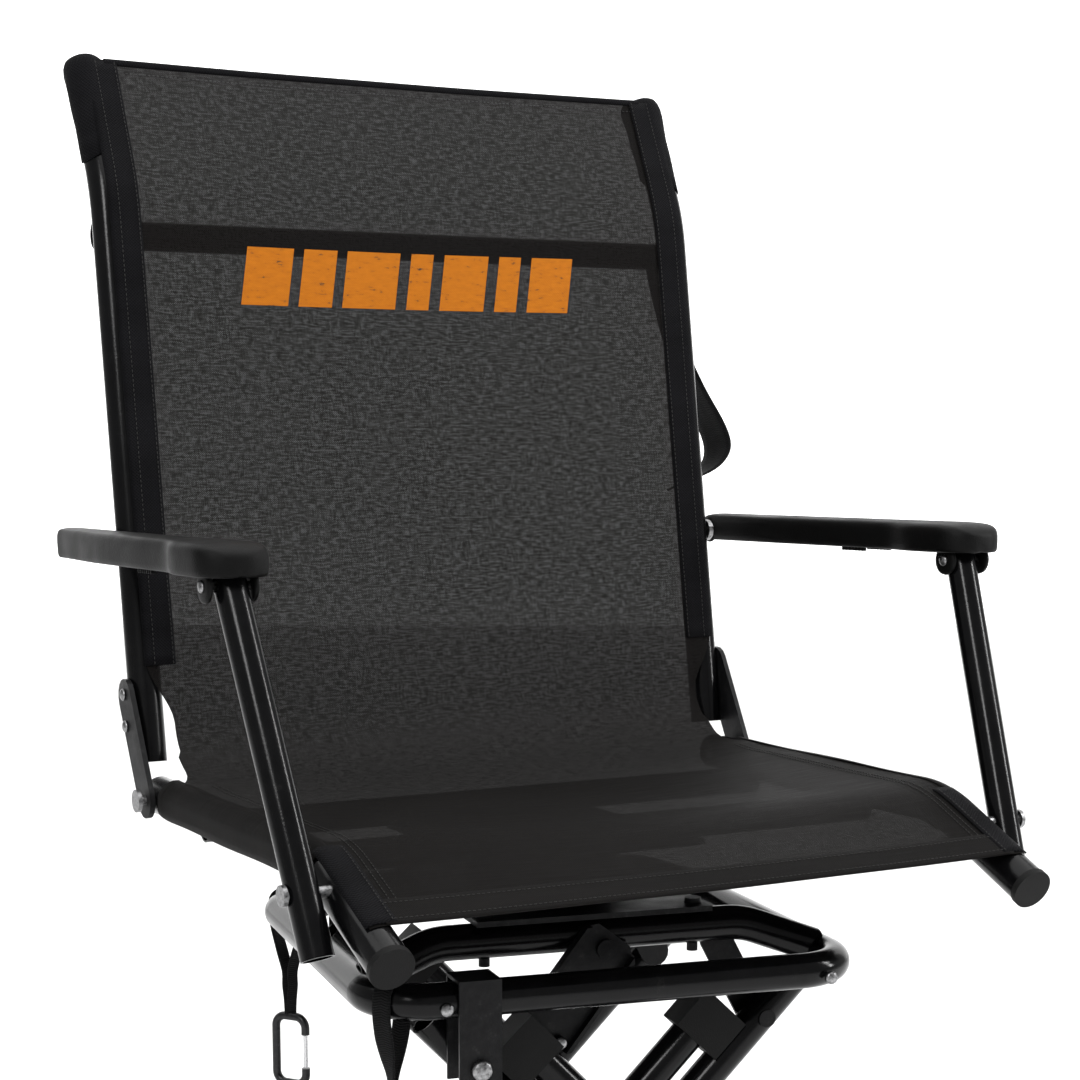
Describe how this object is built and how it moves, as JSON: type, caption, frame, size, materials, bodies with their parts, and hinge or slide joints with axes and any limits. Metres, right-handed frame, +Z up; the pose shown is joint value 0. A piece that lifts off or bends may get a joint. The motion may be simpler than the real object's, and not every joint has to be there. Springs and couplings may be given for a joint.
{
  "type": "folding swivel field chair",
  "caption": "Low folding field chair with a mesh sling seat and back, folding armrests, a swivel and crossed adjustable legs.",
  "frame": {"origin": "on the floor, under the middle of the bounding box", "axes": "+Z up; -Y is the front of the seat; +X is the left-hand side of a person sitting in it"},
  "size_m": [0.646, 0.567, 1.0415],
  "materials": {
    "bearing_plastic": "plain",
    "black_plastic": "fine moulded grain",
    "black_steel": "semi-gloss powder coat",
    "hook_metal": "black",
    "mesh_fabric": "woven mesh",
    "moulded_plastic": "fine moulded grain",
    "webbing": "woven webbing",
    "zinc_steel": "zinc plated"
  },
  "bodies": {
    "base": {"base_front_tube": "black_steel", "base_rear_tube": "black_steel", "base_side_tubes": "black_steel", "front_bow_tube": "black_steel", "rear_bow_tube": "black_steel", "swivel_lower_plate": "black_steel", "swivel_bearing": "bearing_plastic", "leg_hinge_ears": "black_steel", "base_fasteners": "zinc_steel", "strap_loops": "webbing"},
    "seat": {"swivel_upper_plate": "black_steel", "seat_cross_tubes": "black_steel", "right_seat_rail": "black_steel", "left_seat_rail": "black_steel", "rail_end_caps": "black_plastic", "seat_sling": "mesh_fabric", "seat_pivot_pins": "zinc_steel"},
    "back": {"right_back_rail": "black_steel", "left_back_rail": "black_steel", "back_brackets": "black_steel", "arm_pivot_studs": "zinc_steel", "back_cross_tube": "black_steel", "back_sling": "mesh_fabric", "shoulder_strap": "webbing"},
    "right_arm": {"right_armrest": "black_plastic", "right_arm_rivet": "zinc_steel"},
    "right_strut": {"right_arm_strut": "black_steel"},
    "left_arm": {"left_armrest": "black_plastic", "left_arm_rivet": "zinc_steel"},
    "left_strut": {"left_arm_strut": "black_steel"},
    "inner_legs": {"inner_leg_front_tube": "black_steel", "inner_leg_rear_tube": "black_steel", "inner_leg_cross_tube": "black_steel", "inner_leg_guides": "moulded_plastic", "leg_cross_pins": "zinc_steel"},
    "outer_legs": {"outer_leg_front_tube": "black_steel", "outer_leg_rear_tube": "black_steel", "outer_leg_cross_tube": "black_steel", "outer_leg_guides": "moulded_plastic"},
    "front_slider": {"front_saddle": "black_steel"},
    "rear_slider": {"rear_saddle": "black_steel"},
    "inner_front_extension": {"inner_front_extension_tube": "black_steel", "inner_front_extension_fittings": "moulded_plastic"},
    "inner_front_button": {"inner_front_button": "moulded_plastic"},
    "inner_front_foot": {"inner_front_foot": "moulded_plastic"},
    "inner_rear_extension": {"inner_rear_extension_tube": "black_steel", "inner_rear_extension_fittings": "moulded_plastic"},
    "inner_rear_button": {"inner_rear_button": "moulded_plastic"},
    "inner_rear_foot": {"inner_rear_foot": "moulded_plastic"},
    "outer_front_extension": {"outer_front_extension_tube": "black_steel", "outer_front_extension_fittings": "moulded_plastic"},
    "outer_front_button": {"outer_front_button": "moulded_plastic"},
    "outer_front_foot": {"outer_front_foot": "moulded_plastic"},
    "outer_rear_extension": {"outer_rear_extension_tube": "black_steel", "outer_rear_extension_fittings": "moulded_plastic"},
    "outer_rear_button": {"outer_rear_button": "moulded_plastic"},
    "outer_rear_foot": {"outer_rear_foot": "moulded_plastic"},
    "latch": {"latch_arm": "black_steel"},
    "hook": {"snap_hook": "hook_metal"},
    "gate": {"snap_gate": "hook_metal"}
  },
  "joints": [
    {"name": "seat_swivel", "type": "hinge", "parent": "base", "child": "seat", "pos_m": [0, -0.00987, 0.44], "axis": [0, 0, 1], "continuous": true},
    {"name": "back_fold", "type": "hinge", "parent": "seat", "child": "back", "pos_m": [0, 0.12113, 0.4825], "axis": [1, 0, 0], "range_deg": [0, 95]},
    {"name": "right_strut_swing", "type": "hinge", "parent": "seat", "child": "right_strut", "pos_m": [-0.2795, -0.20887, 0.472], "axis": [1, 0, 0], "range_deg": [0, 95]},
    {"name": "right_arm_swing", "type": "hinge", "parent": "back", "child": "right_arm", "pos_m": [-0.294, 0.19713, 0.6705], "axis": [1, 0, 0], "range_deg": [-95, 0]},
    {"name": "left_strut_swing", "type": "hinge", "parent": "seat", "child": "left_strut", "pos_m": [0.2795, -0.20887, 0.472], "axis": [1, 0, 0], "range_deg": [0, 95]},
    {"name": "left_arm_swing", "type": "hinge", "parent": "back", "child": "left_arm", "pos_m": [0.294, 0.19713, 0.6705], "axis": [1, 0, 0], "range_deg": [-95, 0]},
    {"name": "leg_fold", "type": "hinge", "parent": "base", "child": "inner_legs", "pos_m": [0.12802, -0.03244, 0.3315], "axis": [-0.1736, -0.9848, 0], "range_deg": [0, 25]},
    {"name": "leg_cross", "type": "hinge", "parent": "inner_legs", "child": "outer_legs", "pos_m": [0.01083, -0.01178, 0.20827], "axis": [-0.1736, -0.9848, 0], "range_deg": [-50, 0]},
    {"name": "front_slider_turn", "type": "hinge", "parent": "outer_legs", "child": "front_slider", "pos_m": [-0.13119, -0.13194, 0.3315], "axis": [-0.1736, -0.9848, 0], "range_deg": [0, 25]},
    {"name": "rear_slider_turn", "type": "hinge", "parent": "outer_legs", "child": "rear_slider", "pos_m": [-0.08153, 0.14971, 0.3315], "axis": [-0.1736, -0.9848, 0], "range_deg": [0, 25]},
    {"name": "inner_front_reach", "type": "slide", "parent": "inner_legs", "child": "inner_front_extension", "axis": [-0.6841, 0.1206, -0.7193], "range_m": [0, 0.08]},
    {"name": "inner_front_foot_tilt", "type": "hinge", "parent": "inner_front_extension", "child": "inner_front_foot", "pos_m": [-0.22972, -0.08461, 0.025], "axis": [0.1736, 0.9848, 0], "range_deg": [-20, 20]},
    {"name": "inner_front_press", "type": "slide", "parent": "inner_legs", "child": "inner_front_button", "axis": [-0.1736, -0.9848, 0], "range_m": [0, 0.003], "stiffness_N_per_m": 800},
    {"name": "inner_rear_reach", "type": "slide", "parent": "inner_legs", "child": "inner_rear_extension", "axis": [-0.6841, 0.1206, -0.7193], "range_m": [0, 0.08]},
    {"name": "inner_rear_foot_tilt", "type": "hinge", "parent": "inner_rear_extension", "child": "inner_rear_foot", "pos_m": [-0.1903, 0.13894, 0.025], "axis": [0.1736, 0.9848, 0], "range_deg": [-20, 20]},
    {"name": "inner_rear_press", "type": "slide", "parent": "inner_legs", "child": "inner_rear_button", "axis": [0.1736, 0.9848, 0], "range_m": [0, 0.003], "stiffness_N_per_m": 800},
    {"name": "outer_front_reach", "type": "slide", "parent": "outer_legs", "child": "outer_front_extension", "axis": [0.6841, -0.1206, -0.7193], "range_m": [0, 0.08]},
    {"name": "outer_front_foot_tilt", "type": "hinge", "parent": "outer_front_extension", "child": "outer_front_foot", "pos_m": [0.20684, -0.19155, 0.025], "axis": [0.1736, 0.9848, 0], "range_deg": [-20, 20]},
    {"name": "outer_front_press", "type": "slide", "parent": "outer_legs", "child": "outer_front_button", "axis": [0.1736, 0.9848, 0], "range_m": [0, 0.003], "stiffness_N_per_m": 800},
    {"name": "outer_rear_reach", "type": "slide", "parent": "outer_legs", "child": "outer_rear_extension", "axis": [0.6841, -0.1206, -0.7193], "range_m": [0, 0.08]},
    {"name": "outer_rear_foot_tilt", "type": "hinge", "parent": "outer_rear_extension", "child": "outer_rear_foot", "pos_m": [0.25651, 0.09011, 0.025], "axis": [0.1736, 0.9848, 0], "range_deg": [-20, 20]},
    {"name": "outer_rear_press", "type": "slide", "parent": "outer_legs", "child": "outer_rear_button", "axis": [-0.1736, -0.9848, 0], "range_m": [0, 0.003], "stiffness_N_per_m": 800},
    {"name": "latch_swing", "type": "hinge", "parent": "base", "child": "latch", "pos_m": [-0.01545, -0.13204, 0.3915], "axis": [-0.1736, -0.9848, 0], "range_deg": [0, 20]},
    {"name": "hook_swing", "type": "hinge", "parent": "base", "child": "hook", "pos_m": [-0.13164, 0.17813, 0.2855], "axis": [0.5736, -0.8192, 0], "range_deg": [-20, 20]},
    {"name": "gate_press", "type": "hinge", "parent": "hook", "child": "gate", "pos_m": [-0.12361, 0.16666, 0.2445], "axis": [0.8192, 0.5736, 0], "range_deg": [-18, 0], "stiffness_Nm_per_rad": 0.05}
  ],
  "couplings": [
    {"joint": "right_strut_swing", "follows": "back_fold", "ratio": 1},
    {"joint": "right_arm_swing", "follows": "back_fold", "ratio": -1},
    {"joint": "left_strut_swing", "follows": "back_fold", "ratio": 1},
    {"joint": "left_arm_swing", "follows": "back_fold", "ratio": -1},
    {"joint": "leg_cross", "follows": "leg_fold", "ratio": -2},
    {"joint": "front_slider_turn", "follows": "leg_fold", "ratio": 1},
    {"joint": "rear_slider_turn", "follows": "leg_fold", "ratio": 1}
  ]
}
